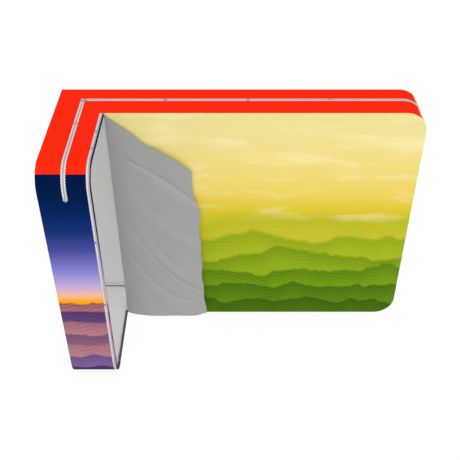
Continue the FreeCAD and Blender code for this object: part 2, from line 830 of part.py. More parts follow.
def pull(name, base, turn):
    """Flat pull tab: a bar under the bail, a window round it and a hole at the grip end."""
    body = new_body(name)
    side = size("pull_width") / 2
    bar = size("pull_bar") / 2
    length = size("pull_length")
    tab = new_sketch(body, "XY_Plane", "tab", -pull_thickness / 2)
    draw_outline(tab, [(bar, -side), (bar, side), (side - length, side), (side / 2 - length, side / 2),
                       (side / 2 - length, -side / 2), (side - length, -side)])
    pad(body, tab, pull_thickness)
    doc.recompute()
    window = new_sketch(body, "XY_Plane", "window", pull_thickness / 2)
    window_side = size("pull_window_width") / 2
    draw_rectangle(window, (-bar - size("pull_window_length"), -window_side), (-bar, window_side))
    draw_circle(window, (side - length, 0), size("pull_hole") / 2)
    pocket_through(body, window)
    place(body, base, turn)
    keep(name, body)


def build_sliders():
    bar_height = plate_high + bail_clear / 2
    x_top = x_left + size("top_slider_place")
    slider("top_zip_slider", [x_top, y_zip, height], FreeCAD.Rotation(), True)
    pull("top_zip_pull", [x_top, y_zip, height + bar_height], FreeCAD.Rotation())
    x_door = x_inner - size("door_tooth_inset") + slot_half
    z_door = corner + size("door_slider_rise")
    upright = turned(Z, -X, -Y)
    slider("door_zip_slider", [x_door, y_nose, z_door], upright, False)
    pull("door_zip_pull", [x_door, y_nose - bar_height, z_door], upright)


def loop_tape(name, edges, base, turn, length):
    """Strip of loop tape that curves round a bottom rail from one of its edge angles to the other."""
    body = new_body(name)
    start, stop = edges
    low = tube_radius + size("loop_tape_gap")
    high = low + size("loop_tape_thickness")
    section = new_sketch(body, "XY_Plane", "section")
    points = [(radius * math.cos(angle), radius * math.sin(angle)) for radius, angle in
              ((high, start), (high, stop), (low, stop), (low, start))]
    draw_outline(section, points, {0: (high, 1), 2: (low, -1)})
    pad(body, section, length)
    place(body, base, turn)
    keep(name, body)


def build_loop_tapes():
    """Tape for the door's hem on the sill rail, and for the floor's edge on the leg's back rail."""
    y_start = y_face_tube - tube_radius
    loop_tape("sill_tape", SILL_TAPE_EDGES, [x_inner_tube, y_start, z_low_tube], turned(X, Z, -Y),
              y_start - (y_nose + corner + shoulder))
    x_start = x_inner_tube - tube_radius - shoulder
    loop_tape("back_rail_tape", BACK_TAPE_EDGES, [x_start, y_back_tube, z_low_tube], turned(-Y, Z, -X),
              x_start - (x_left_tube + tube_radius + spigot_length))


# Door: the hanging panel with its folds, and the zip half along its free edge
FOLDS = 4
SKEW_LOW = 0.8
SKEW_HIGH = 1.3
LEVELS_LOW = [0, 0.18, 0.38, 0.58, 0.78]
LEVELS_HIGH = [0, 0.3, 0.6, 0.85, 1]


def door_levels():
    """Heights and widths of the door's sections from the hem to the head."""
    hem = size("door_hem_gap").value
    shoulder_height = height.value - size("door_corner_drop").value
    head = height.value - size("door_head_gap").value
    low, high, top = (size(f"door_width_{part}").value for part in ("low", "high", "head"))
    levels = [(hem + (shoulder_height - hem) * share, low + (high - low) * share) for share in LEVELS_LOW]
    levels += [(shoulder_height + (head - shoulder_height) * share, high + (top - high) * share)
               for share in LEVELS_HIGH]
    return levels


def door_point(level, out, forward):
    offset = size("door_seam_offset").value
    return V(x_inner.value + offset + out, y_face.value - offset - forward, level)


def door_section(level, reach):
    """Closed section of the cloth: arcs out along its face and back along its reverse."""
    half = cloth.value / 2
    lean, fold = size("door_lean").value, size("door_fold").value
    skew = SKEW_LOW + (SKEW_HIGH - SKEW_LOW) * level / height.value
    outs = [reach * (number / FOLDS) ** skew for number in range(FOLDS + 1)]
    middles = [(first + last) / 2 for first, last in zip(outs, outs[1:])]
    swells = [lean * out + fold * out * (1 if number % 2 else -1) for number, out in enumerate(middles)]
    edges = []
    for thickness, order in ((half, 1), (-half, -1)):
        ends = [door_point(level, out, lean * out + thickness) for out in outs]
        tops = [door_point(level, out, swell + thickness) for out, swell in zip(middles, swells)]
        ends, tops = ends[::order], tops[::order]
        edges += [Part.Arc(*three).toShape() for three in zip(ends, tops, ends[1:])]
        last_out = outs[::order][-1]
        edges.append(Part.makeLine(ends[-1], door_point(level, last_out, lean * last_out - thickness)))
    return Part.Wire(edges)


def build_door():
    half = cloth.value / 2
    strip_width = size("door_stringer").value
    lean = size("door_lean").value
    sections, rims = [], []
    for level, reach in door_levels():
        inner_reach = reach - strip_width
        sections.append(door_section(level, inner_reach))
        forward = lean * inner_reach
        rims.append(Part.makePolygon([
            door_point(level, inner_reach, forward + half), door_point(level, reach, forward + half),
            door_point(level, reach, forward - half), door_point(level, inner_reach, forward - half),
            door_point(level, inner_reach, forward + half)]))
    hem = size("door_hem_gap").value
    seam = height.value - size("door_head_gap").value - hem
    bead = Part.makeCylinder(size("door_bead_radius").value, seam, door_point(hem, 0, 0), Z)
    panel = doc.addObject("Part::Feature", "door_panel")
    panel.Shape = Part.makeLoft(sections, True, True).fuse(bead)
    keep("door_panel", panel)
    rim = doc.addObject("Part::Feature", "door_zip_free")
    rim.Shape = Part.makeLoft(rims, True, True)
    keep("door_zip_free", rim)


build_frame()
build_stubs_and_buttons()
build_cover()
build_zips()
build_sliders()
build_loop_tapes()
build_door()
doc.recompute()

for thing in doc.Objects:
    if {"Invalid", "Error"} & set(thing.State):
        raise RuntimeError(f"{thing.Name} did not build: {thing.State}")
os.makedirs("parts", exist_ok=True)
for name, thing in subparts.items():
    shape = thing.Shape
    if shape.isNull() or not shape.isValid() or not shape.Solids:
        raise RuntimeError(f"{name} has no valid solid")
    shape.exportStep(f"parts/{name}.step")
    bounds = shape.BoundBox
    print(f"{name}: {len(shape.Solids)} solids, {len(shape.Faces)} faces, "
          f"{bounds.XLength:.1f} x {bounds.YLength:.1f} x {bounds.ZLength:.1f}")
print(len(subparts), "sub-parts")
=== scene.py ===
import json
import math

import bmesh
import bpy
from mathutils import Matrix, Vector


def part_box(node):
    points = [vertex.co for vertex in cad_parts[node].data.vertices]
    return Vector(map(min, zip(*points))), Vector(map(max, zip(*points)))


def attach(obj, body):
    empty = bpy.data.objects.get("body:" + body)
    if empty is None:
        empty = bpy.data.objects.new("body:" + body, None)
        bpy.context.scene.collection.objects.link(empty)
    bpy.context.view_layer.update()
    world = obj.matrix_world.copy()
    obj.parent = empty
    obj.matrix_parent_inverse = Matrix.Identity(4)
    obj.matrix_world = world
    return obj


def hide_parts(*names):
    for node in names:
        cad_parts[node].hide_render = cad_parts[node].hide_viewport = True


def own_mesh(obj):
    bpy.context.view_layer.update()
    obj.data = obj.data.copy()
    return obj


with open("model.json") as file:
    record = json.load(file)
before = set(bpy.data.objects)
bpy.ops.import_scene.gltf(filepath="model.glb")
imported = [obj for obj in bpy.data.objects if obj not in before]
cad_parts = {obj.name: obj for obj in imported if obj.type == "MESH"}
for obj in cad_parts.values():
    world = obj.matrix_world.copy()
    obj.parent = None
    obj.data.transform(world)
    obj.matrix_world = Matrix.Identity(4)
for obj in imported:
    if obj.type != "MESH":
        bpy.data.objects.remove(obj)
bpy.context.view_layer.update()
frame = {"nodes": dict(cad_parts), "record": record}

# Sizes, in metres
MM = 0.001
CORNER = 185 * MM
BEND_STEPS = 16
CLOTH = 1.2 * MM
SEAM_ROUND = 4 * MM
SEAM_SINK = SEAM_ROUND * (1 - math.sqrt(0.5))
FLAT_MARGIN = 6 * MM
TAPE_SINK = 0.2 * MM
ZIP_HALF = 17.5 * MM
ZIP_SLOT_HALF = 0.7 * MM
ZIP_DROP = 260 * MM
# Rows along a zip: pitch, then the length, width and height of one block
TEETH = (10 * MM, 4.4 * MM, 6.6 * MM, 2.2 * MM)
BARS = (20 * MM, 11 * MM, 9.5 * MM, 0.3 * MM)
TOOTH_MIDDLE = 1.9 * MM
BAR_MIDDLE = 11.25 * MM
STITCH_PITCH = 9 * MM
STITCH_LONG = 6 * MM
STITCH_WIDE = 1.2 * MM
STITCH_INSET = 5 * MM
TOP_TACK = (26 * MM, 7 * MM, 1.4 * MM)
DOOR_TACK = (26 * MM, 11 * MM, 1.4 * MM)
TOP_TACK_MIDDLE = 11 * MM
PLACKET_FRONT = 5 * MM
PLACKET_SIDE = 28 * MM
DOOR_TAPE = 26 * MM
DOOR_EDGE = PLACKET_FRONT + DOOR_TAPE
DOOR_TOOTH_INSET = 9 * MM
DOOR_BAR_INSET = 22.5 * MM
TUBE_INSET = 16.5 * MM
RAIL_RADIUS = 15.1 * MM
LOOP_THICK = 1 * MM
LOOP_STEPS = 10
QUARTER = math.pi / 2
EIGHTH = math.pi / 4
SHARP_EDGE = math.radians(40)
UNIT_HALF = 0.5
UP = Vector((0, 0, 1))
FRONT = Vector((0, -1, 0))

# Planes of the wall and lines of its zips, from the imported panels
back_low, back_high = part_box("back_panel")
face_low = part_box("front_panel")[0]
LEFT, RIGHT = back_low.x, back_high.x
BACK, TOP = back_high.y, back_high.z
INNER, FACE = face_low.x, face_low.y
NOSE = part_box("leg_end_panel")[0].y
ZIP_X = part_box("top_zip_outer")[0].x + ZIP_HALF
ZIP_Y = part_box("top_zip_outer")[1].y - ZIP_HALF
ZIP_END = TOP - ZIP_DROP


class Arm:
    """One arm of the wall: the way it heads along the top, and how far it reaches that way."""

    def __init__(self, heading, reach):
        self.heading = Vector(heading)
        self.across = UP.cross(self.heading)
        self.reach = reach

    def point(self, along, across, rise):
        """Point by its distances along the heading, across it and up."""
        return self.heading * along + self.across * across + UP * rise

    def station(self, start, distance):
        """Place, heading and outward direction at a distance along the top, the bend and the end."""
        flat = self.reach - CORNER - start
        bend = CORNER * QUARTER
        if distance < flat:
            return self.point(start + distance, 0, TOP), self.heading, UP
        if distance > flat + bend:
            return self.point(self.reach, 0, TOP - CORNER - (distance - flat - bend)), -UP, self.heading
        angle = (distance - flat) / CORNER
        outward = self.heading * math.sin(angle) + UP * math.cos(angle)
        ahead = self.heading * math.cos(angle) - UP * math.sin(angle)
        return self.point(self.reach - CORNER, 0, TOP - CORNER) + outward * CORNER, ahead, outward

    def length(self, start, end):
        """Distance along the cover from a place on the top to a height on the end."""
        return self.reach - CORNER - start + CORNER * QUARTER + TOP - CORNER - end


MAIN = Arm((1, 0, 0), RIGHT)
LEG = Arm((0, -1, 0), -NOSE)


# Materials
def linear(code):
    """Linear colour of an sRGB hex value."""
    parts = [int(code[place:place + 2], 16) / 255 for place in (1, 3, 5)]
    return [part / 12.92 if part <= 0.04045 else ((part + 0.055) / 1.055) ** 2.4 for part in parts] + [1]


def add(tree, kind, inputs=None, out=0, stops=None, **settings):
    """Add one shader node and give its output; an input gets a value or the socket that feeds it."""
    node = tree.nodes.new("ShaderNode" + kind)
    for name, value in settings.items():
        setattr(node, name, value)
    for name, value in (inputs or {}).items():
        if isinstance(value, bpy.types.NodeSocket):
            tree.links.new(value, node.inputs[name])
        else:
            node.inputs[name].default_value = value
    for number, (place, code) in enumerate(stops or []):
        if number > 1:
            node.color_ramp.elements.new(place)
        node.color_ramp.elements[number].position = place
        node.color_ramp.elements[number].color = linear(code)
    return node.outputs[out]


def new_material(name, **sockets):
    """Material with its shader's constant sockets set; a socket's name has _ for each space."""
    material = bpy.data.materials.new(name)
    material.use_nodes = True
    tree = material.node_tree
    shader = tree.nodes["Principled BSDF"]
    for socket, value in sockets.items():
        shader.inputs[socket.replace("_", " ")].default_value = value
    return material, tree, shader


# Radians that a wave texture turns through in one unit at a scale of 1
WAVE_RATE = 20


def wave_scale(spacing):
    """Scale at which a wave texture's bands lie that far apart."""
    return 2 * math.pi / WAVE_RATE / spacing


# Knit drawn at three times its real 1 mm wales, which a whole view could not show
KNIT_SPACING = 3 * MM
KNIT_DEPTH = 0.25 * MM
KNIT_STRENGTH = 0.5
SOFT_SPACING = 180 * MM
SOFT_DEPTH = 2.5 * MM
SOFT_STRENGTH = 0.35
MOTTLE_DETAIL = 4.0
MOTTLE_DARK = 0.96


def knit_normal(tree, place):
    """Fine wales and courses, over the slow swell of cloth that is stretched by hand."""
    height = None
    for way in "XYZ":
        bands = add(tree, "TexWave", {"Vector": place, "Scale": wave_scale(KNIT_SPACING)},
                    out="Fac", bands_direction=way)
        height = bands if height is None else add(tree, "Math", {0: height, 1: bands})
    swell = add(tree, "TexNoise", {"Vector": place, "Scale": 1 / SOFT_SPACING, "Detail": 1.0}, out="Fac")
    slow = add(tree, "Bump", {"Height": swell, "Strength": SOFT_STRENGTH, "Distance": SOFT_DEPTH})
    return add(tree, "Bump", {"Height": height, "Strength": KNIT_STRENGTH, "Distance": KNIT_DEPTH,
                              "Normal": slow})


def knit(name, colour):
    """Polyester stretch knit, deep in colour and without gloss; colour is a hex value or a print."""
    material, tree, shader = new_material(name, Roughness=0.9, IOR=1.45, Specular_IOR_Level=0.05)
    place = add(tree, "TexCoord", out="Object")
    if isinstance(colour, str):
        mottle = add(tree, "TexNoise", {"Vector": place, "Scale": 1 / SOFT_SPACING, "Detail": MOTTLE_DETAIL},
                     out="Fac")
        shade = add(tree, "MapRange", {"Value": mottle, "To Min": MOTTLE_DARK, "To Max": 1.0})
        colour = add(tree, "Mix", {0: 1.0, 6: linear(colour), 7: shade}, out=2,
                     data_type="RGBA", blend_type="MULTIPLY")
    else:
        colour = colour(tree, place)
    tree.links.new(colour, shader.inputs["Base Color"])
    tree.links.new(knit_normal(tree, place), shader.inputs["Normal"])
    return material


# Skies of the two prints, by their share of the wall's height
MEADOW_SKY = [(0.1, "#567A18"), (0.24, "#6B9116"), (0.37, "#96AE1E"), (0.5, "#C4BE28"), (0.57, "#DCC536"),
              (0.64, "#EACE5C"), (0.76, "#EED87C"), (0.92, "#EBDE94")]
DUSK_SKY = [(0.40, "#F58E0C"), (0.435, "#FFAA14"), (0.46, "#EDB8A0"), (0.505, "#BEA6D6"), (0.58, "#827ECC"),
            (0.67, "#464C98"), (0.75, "#163074"), (0.83, "#00235C"), (0.9, "#001A48"), (1.0, "#00133C")]
# Rows of hills in a print, from the back: height, swing, length, softness, colours of crest and foot
MEADOW_HILLS = [
    (1.17, 0.12, 1.3, 0.09, "#B4B420", "#C4BE30"),
    (0.97, 0.11, 0.9, 0.035, "#8CA218", "#A8B424"),
    (0.77, 0.1, 0.75, 0.022, "#6E9014", "#8EAA1C"),
    (0.57, 0.09, 0.6, 0.018, "#547C10", "#769A16"),
    (0.37, 0.08, 0.5, 0.015, "#426A0E", "#608612"),
    (0.17, 0.06, 0.42, 0.012, "#3C5E0E", "#4E7610")]
DUSK_HILLS = [
    (0.96, 0.05, 0.30, 0.01, "#8C505A", "#C07E80"),
    (0.86, 0.015, 0.8, 0.01, "#463462", "#6A4C80"),
    (0.73, 0.03, 0.42, 0.012, "#965E74", "#B98088"),
    (0.59, 0.04, 0.36, 0.012, "#6C4A6A", "#94667E"),
    (0.45, 0.03, 0.5, 0.012, "#9C6876", "#B88684"),
    (0.30, 0.04, 0.33, 0.012, "#664C80", "#80649A"),
    (0.16, 0.03, 0.45, 0.012, "#3A325E", "#584A7E")]
HILL_SEED = 7.3
HILL_DEPTH = 0.26
TREE_DETAIL = 5.0
FURROW = 45 * MM
FURROW_FALL = 0.35
FURROW_SHADE = 0.3
CLOUD_LONG = 0.7
CLOUD_TALL = 0.16
CLOUD_DETAIL = 5.0
CLOUD_THIN = 0.48
CLOUD_THICK = 0.72
PALE = "#FFF6C8"
MEADOW_CLOUDS = 0.3
DUSK_CLOUDS = 0.0
# Noise keeps to the middle half of its range, so a swing is doubled to reach its size
NOISE_SPREAD = 2


def landscape(sky, hills, clouds):
    """Print of a shaded sky with thin clouds over rows of tilled hills that pale towards their feet."""
    def colour(tree, place):
        parts = add(tree, "SeparateXYZ", {"Vector": place})
        across, along, rise = (parts.node.outputs[axis] for axis in "XYZ")
        level = add(tree, "Math", {0: rise, 1: TOP}, operation="DIVIDE")
        side = add(tree, "Math", {0: across, 1: along})
        shade = add(tree, "ValToRGB", {"Fac": level}, stops=sky)
        flat = add(tree, "CombineXYZ", {"X": side, "Y": rise})
        drift = add(tree, "Mapping", {"Vector": flat, "Scale": (1 / CLOUD_LONG, 1 / CLOUD_TALL, 1)})
        vapour = add(tree, "TexNoise", {"Vector": drift, "Scale": 1.0, "Detail": CLOUD_DETAIL}, out="Fac",
                     noise_dimensions="2D")
        cloud = add(tree, "MapRange", {"Value": vapour, "From Min": CLOUD_THIN, "From Max": CLOUD_THICK,
                                       "To Max": clouds}, interpolation_type="SMOOTHSTEP")
        shade = add(tree, "Mix", {0: cloud, 6: shade, 7: linear(PALE)}, out=2, data_type="RGBA")
        for number, (height, swing, length, soft, crest_code, foot_code) in enumerate(hills):
            run = add(tree, "Math", {0: side, 1: 1 / length, 2: number * HILL_SEED},
                      operation="MULTIPLY_ADD")
            noise = add(tree, "TexNoise", {"W": run, "Scale": 1.0, "Detail": TREE_DETAIL}, out="Fac",
                        noise_dimensions="1D")
            reach = swing * NOISE_SPREAD
            crest = add(tree, "MapRange", {"Value": noise, "To Min": height - reach,
                                           "To Max": height + reach})
            below = add(tree, "Math", {0: crest, 1: rise}, operation="SUBTRACT")
            share = add(tree, "MapRange", {"Value": below, "From Min": -soft, "From Max": soft},
                        interpolation_type="SMOOTHSTEP")
            mist = add(tree, "MapRange", {"Value": below, "From Max": HILL_DEPTH})
            slope = add(tree, "Math", {0: side, 1: FURROW_FALL * (-1) ** number, 2: below},
                        operation="MULTIPLY_ADD")
            tilled = add(tree, "CombineXYZ", {"X": slope})
            rows = add(tree, "TexWave", {"Vector": tilled, "Scale": wave_scale(FURROW)}, out="Fac",
                       bands_direction="X")
            mist = add(tree, "Math", {0: rows, 1: FURROW_SHADE, 2: mist}, operation="MULTIPLY_ADD",
                       use_clamp=True)
            hill = add(tree, "Mix", {0: mist, 6: linear(crest_code), 7: linear(foot_code)}, out=2,
                       data_type="RGBA")
            shade = add(tree, "Mix", {0: share, 6: shade, 7: hill}, out=2, data_type="RGBA")
        return shade
    return colour


# Twill drawn coarser than its real half millimetre, which a whole view could not show
WEAVE_SPACING = 2.5 * MM
WEAVE_DARK = 0.9
WEAVE_STRENGTH = 0.5


def woven_tape(name, code):
    """Woven tape or close stitching in polyester: a twill with a slight lustre along its threads."""
    material, tree, shader = new_material(name, Roughness=0.7, IOR=1.5, Specular_IOR_Level=0.35)
    place = add(tree, "TexCoord", out="Object")
    twill = add(tree, "TexWave", {"Vector": place, "Scale": wave_scale(WEAVE_SPACING)}, out="Fac",
                bands_direction="DIAGONAL")
    shade = add(tree, "MapRange", {"Value": twill, "To Min": WEAVE_DARK, "To Max": 1.0})
    colour = add(tree, "Mix", {0: 1.0, 6: linear(code), 7: shade}, out=2,
                 data_type="RGBA", blend_type="MULTIPLY")
    tree.links.new(colour, shader.inputs["Base Color"])
    bump = add(tree, "Bump", {"Height": twill, "Strength": WEAVE_STRENGTH, "Distance": KNIT_DEPTH})
    tree.links.new(bump, shader.inputs["Normal"])
    return material


GRAIN_SPACING = 0.8 * MM
GRAIN_DEPTH = 0.1 * MM
GRAIN_STRENGTH = 0.15
SCUFF_SPACING = 35 * MM
SCUFF_DETAIL = 6.0
# Handling marks: how far they shift the roughness, and the shade that they give
SCUFF_GLOSS = (-0.1, 0.12)
SCUFF_SHADE = (0.92, 1.04)


def moulded(name, code, roughness, **sockets):
    """Moulded or drawn surface: fine grain in the bump, and handling marks in the gloss."""
    material, tree, shader = new_material(name, **sockets)
    place = add(tree, "TexCoord", out="Object")
    scuff = add(tree, "TexNoise", {"Vector": place, "Scale": 1 / SCUFF_SPACING, "Detail": SCUFF_DETAIL},
                out="Fac")
    gloss = add(tree, "MapRange", {"Value": scuff, "To Min": roughness + SCUFF_GLOSS[0],
                                   "To Max": roughness + SCUFF_GLOSS[1]})
    shade = add(tree, "MapRange", {"Value": scuff, "To Min": SCUFF_SHADE[0], "To Max": SCUFF_SHADE[1]})
    colour = add(tree, "Mix", {0: 1.0, 6: linear(code), 7: shade}, out=2,
                 data_type="RGBA", blend_type="MULTIPLY")
    grain = add(tree, "TexNoise", {"Vector": place, "Scale": 1 / GRAIN_SPACING, "Detail": 2.0}, out="Fac")
    bump = add(tree, "Bump", {"Height": grain, "Strength": GRAIN_STRENGTH, "Distance": GRAIN_DEPTH})
    for socket, source in (("Base Color", colour), ("Roughness", gloss), ("Normal", bump)):
        tree.links.new(source, shader.inputs[socket])
    return material


# Pile drawn coarser than its real loops, which a whole view could not show
PILE_SPACING = 2.5 * MM
PILE_SHADE = (0.7, 1.3)
PILE_STRENGTH = 0.8


def loop_tape(name, code):
    """Loop tape: a dense pile of dark nylon loops that swallows the light, whose darkness is also painted
    shadow.
    """
    material, tree, shader = new_material(name, Roughness=0.95, Specular_IOR_Level=0.2, Sheen_Weight=0.2)
    place = add(tree, "TexCoord", out="Object")
    pile = add(tree, "TexVoronoi", {"Vector": place, "Scale": 1 / PILE_SPACING}, out="Distance")
    shade = add(tree, "MapRange", {"Value": pile, "To Min": PILE_SHADE[0], "To Max": PILE_SHADE[1]})
    colour = add(tree, "Mix", {0: 1.0, 6: linear(code), 7: shade}, out=2,
                 data_type="RGBA", blend_type="MULTIPLY")
    bump = add(tree, "Bump", {"Height": pile, "Strength": PILE_STRENGTH, "Distance": KNIT_DEPTH})
    tree.links.new(colour, shader.inputs["Base Color"])
    tree.links.new(bump, shader.inputs["Normal"])
    return material


meadow_knit = knit("meadow_print_knit", landscape(MEADOW_SKY, MEADOW_HILLS, MEADOW_CLOUDS))
dusk_knit = knit("dusk_print_knit", landscape(DUSK_SKY, DUSK_HILLS, DUSK_CLOUDS))
red_knit = knit("red_dyed_knit", "#FF290C")
lining_knit = knit("unprinted_knit_reverse", "#E8E8E8")
door_knit = knit("grey_knit_reverse", "#A4A4A4")
tape_rose = woven_tape("woven_zip_tape", "#BEB6B8")
tape_grey = woven_tape("woven_door_tape", "#A8A8A8")
tooth_acetal = moulded("moulded_acetal_teeth", "#B0A4A4", 0.4, IOR=1.48)
thread_red = woven_tape("red_thread", "#E0200A")
thread_white = woven_tape("white_bar_thread", "#F4F2F0")
thread_grey = woven_tape("grey_thread", "#74888A")
# Dark pile of the loop tapes on the low rails and bow: a real tape whose darkness is also painted shadow
pile_painted_shadow = loop_tape("dark_loop_pile_painted_shadow", "#4A4B4E")
NODE_MATERIALS = {
    "frame_tube": moulded("grey_powder_coated_aluminium", "#D2D2D2", 0.75, Specular_IOR_Level=0.1),
    "hub_moulding": moulded("moulded_glass_filled_nylon", "#D8D8D8", 0.7, Specular_IOR_Level=0.15),
    "button_steel": moulded("plated_spring_steel", "#C2C4C8", 0.3, Metallic=1.0),
    "zip_metal": moulded("enamelled_zinc_casting", "#A4A6A8", 0.42, IOR=1.5),
}
for row in frame["record"]["subparts"]:
    if row["material_slot"] in NODE_MATERIALS:
        mesh = frame["nodes"][row["node"]].data
        mesh.materials.clear()
        mesh.materials.append(NODE_MATERIALS[row["material_slot"]])


# Ways of making a piece
def finish_piece(bm, name, materials, nodes=(), body="wall", thickness=CLOTH):
    """Turn a bmesh into a piece that rides on its body; a sheet gets its thickness on its inner side."""
    for facet in bm.faces:
        facet.smooth = True
    mesh = bpy.data.meshes.new(name)
    bm.to_mesh(mesh)
    bm.free()
    thing = bpy.data.objects.new(name, mesh)
    bpy.context.scene.collection.objects.link(thing)
    for material in materials:
        mesh.materials.append(material)
    if thickness:
        layer = thing.modifiers.new("thickness", "SOLIDIFY")
        layer.thickness = thickness
        layer.offset = -1
        layer.material_offset = len(materials) - 1
        with bpy.context.temp_override(object=thing, active_object=thing, selected_objects=[thing]):
            bpy.ops.object.modifier_apply(modifier=layer.name)
    thing.data.set_sharp_from_angle(angle=SHARP_EDGE)
    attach(thing, body)
    if nodes:
        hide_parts(*nodes)
    return thing


def turn_out(bm, outward):
    """Make the faces agree, with the first one looking outward."""
    bmesh.ops.recalc_face_normals(bm, faces=bm.faces)
    bm.faces.ensure_lookup_table()
    if bm.faces[0].normal.dot(outward) < 0:
        bmesh.ops.reverse_faces(bm, faces=bm.faces)


def roll_edges(bm, radius=SEAM_ROUND):
    """Raise the cloth from its borders, so that each edge rolls down an eighth turn into its seam."""
    inside = list(bm.faces)
    for start, stop in ((EIGHTH, EIGHTH / 2), (EIGHTH / 2, 0)):
        bmesh.ops.inset_region(
            bm, faces=inside, use_boundary=True, use_even_offset=True,
            thickness=radius * (math.sin(start) - math.sin(stop)),
            depth=radius * (math.cos(stop) - math.cos(start)))
    bmesh.ops.inset_region(bm, faces=inside, use_boundary=True, use_even_offset=True, thickness=FLAT_MARGIN)


def edges_of(made):
    """Edges among what an operator made."""
    return [part for part in made if isinstance(part, bmesh.types.BMEdge)]


def carry(bm, row, shift):
    """Extrude a row of edges by one shift, and give the new row."""
    made = bmesh.ops.extrude_edge_only(bm, edges=row)["geom"]
    fresh = {part for part in made if isinstance(part, bmesh.types.BMVert)}
    bmesh.ops.translate(bm, verts=list(fresh), vec=shift)
    return [edge for edge in edges_of(made) if fresh.issuperset(edge.verts)]


def bend(bm, row, arm, level, angle):
    """Spin a row of edges round the bend whose centre is at that level, and give the new row."""
    corners = list({vert for edge in row for vert in edge.verts})
    made = bmesh.ops.spin(
        bm, geom=corners + row, cent=arm.point(arm.reach - CORNER, 0, level), axis=arm.across,
        angle=angle, steps=max(2, round(BEND_STEPS * angle / QUARTER)))
    return edges_of(made["geom_last"])


def over_the_top(bm, row, arm, start, angle, end=None):
    """Carry a row along an arm's top, round its top bend, and down to a height on its end."""
    row = carry(bm, row, arm.heading * (arm.reach - CORNER - start))
    row = bend(bm, row, arm, TOP - CORNER, angle)
    if end is not None:
        row = carry(bm, row, UP * (end - TOP + CORNER))
    return row


def to_the_floor(bm, row, arm):
    """Carry a row from the bottom of an arm's end round its low bend."""
    return bend(bm, row, arm, CORNER, QUARTER)


def row_of(bm, points):
    """Row of edges through a few points."""
    verts = [bm.verts.new(point) for point in points]
    return [bm.edges.new(pair) for pair in zip(verts, verts[1:])]


def ell(x_range, y_range, sink, angle, end=None):
    """L in plan that follows both arms from a square at the wall's outer corner."""
    bm = bmesh.new()
    (x_low, x_high), (y_low, y_high) = x_range, y_range
    square = [bm.verts.new((x, y, TOP - sink)) for x, y in
              ((x_low, y_low), (x_high, y_low), (x_high, y_high), (x_low, y_high))]
    bm.faces.new(square)
    over_the_top(bm, [bm.edges.get(square[1:3])], MAIN, x_high, angle, end)
    over_the_top(bm, [bm.edges.get(square[:2])], LEG, -y_low, angle, end)
    turn_out(bm, UP)
    return bm


def flat_face(corners, outward, rounded):
    """Flat face with some of its corners rounded to the wall's bend."""
    bm = bmesh.new()
    verts = [bm.verts.new(corner) for corner in corners]
    bm.faces.new(verts)
    bmesh.ops.bevel(
        bm, geom=[verts[number] for number in rounded], offset=CORNER - SEAM_SINK, offset_type="OFFSET",
        segments=BEND_STEPS, profile=0.5, affect="VERTICES", material=-1)
    bm.normal_update()
    turn_out(bm, outward)
    roll_edges(bm)
    return bm


# Cover: faces, ends and bands
def face_cloth(node, print_knit, x_range, y_range, outward):
    """One of the flat faces, set in from the wall's edges by the roll of its seams."""
    inset = Vector(outward) * -SEAM_SINK
    (x_low, x_high), (y_low, y_high) = x_range, y_range
    low, high = SEAM_SINK, TOP - SEAM_SINK
    corners = [(x_low, y_low, low), (x_high, y_high, low), (x_high, y_high, high), (x_low, y_low, high)]
    bm = flat_face([Vector(corner) + inset for corner in corners], Vector(outward), rounded=(1, 2))
    cloth = finish_piece(bm, node.replace("panel", "cloth"), [print_knit, lining_knit], [node])


def end_cloth(node, print_knit, arm, across, zip_across):
    """Rounded end from the middle of the top bend to the floor, slotted for the top zip."""
    bm = bmesh.new()
    outward = (arm.heading + UP).normalized()
    start = arm.point(arm.reach - CORNER, 0, TOP - CORNER) + outward * (CORNER - SEAM_SINK)
    places = [across[0], zip_across - ZIP_HALF, zip_across + ZIP_HALF, across[1]]
    row = row_of(bm, [start + arm.across * place for place in places])
    row = bend(bm, row, arm, TOP - CORNER, EIGHTH)
    row = carry(bm, row, UP * (ZIP_END - TOP + CORNER))
    slot_faces = [facet for facet in bm.faces
                  if abs(facet.calc_center_median().dot(arm.across) - zip_across) < ZIP_HALF / 2]
    row = carry(bm, row, UP * (CORNER - ZIP_END))
    to_the_floor(bm, row, arm)
    bmesh.ops.delete(bm, geom=slot_faces, context="FACES")
    turn_out(bm, outward)
    roll_edges(bm)
    cloth = finish_piece(bm, node.replace("panel", "cloth"), [print_knit, lining_knit], [node])


def band_cloth(node, x_range, y_range):
    """Half of the red band on the top, which turns the wall's corner in one piece."""
    bm = ell(x_range, y_range, SEAM_SINK, EIGHTH)
    roll_edges(bm)
    name = node.replace("top_band", "band_cloth")
    cloth = finish_piece(bm, name, [red_knit, lining_knit], [node])


def floor_cloth():
    """Floor of the cover, between the rounded ends."""
    bm = bmesh.new()
    low, front, back = NOSE + CORNER, FACE + SEAM_SINK, BACK - SEAM_SINK
    left, inner, right = LEFT + SEAM_SINK, INNER - SEAM_SINK, RIGHT - CORNER
    plan = [(left, low), (inner, low), (inner, front), (right, front), (right, back), (left, back)]
    bm.faces.new([bm.verts.new((x, y, SEAM_SINK)) for x, y in plan])
    bm.normal_update()
    turn_out(bm, -UP)
    roll_edges(bm)
    cloth = finish_piece(bm, "floor_cloth", [lining_knit, lining_knit], ["floor_panel"])


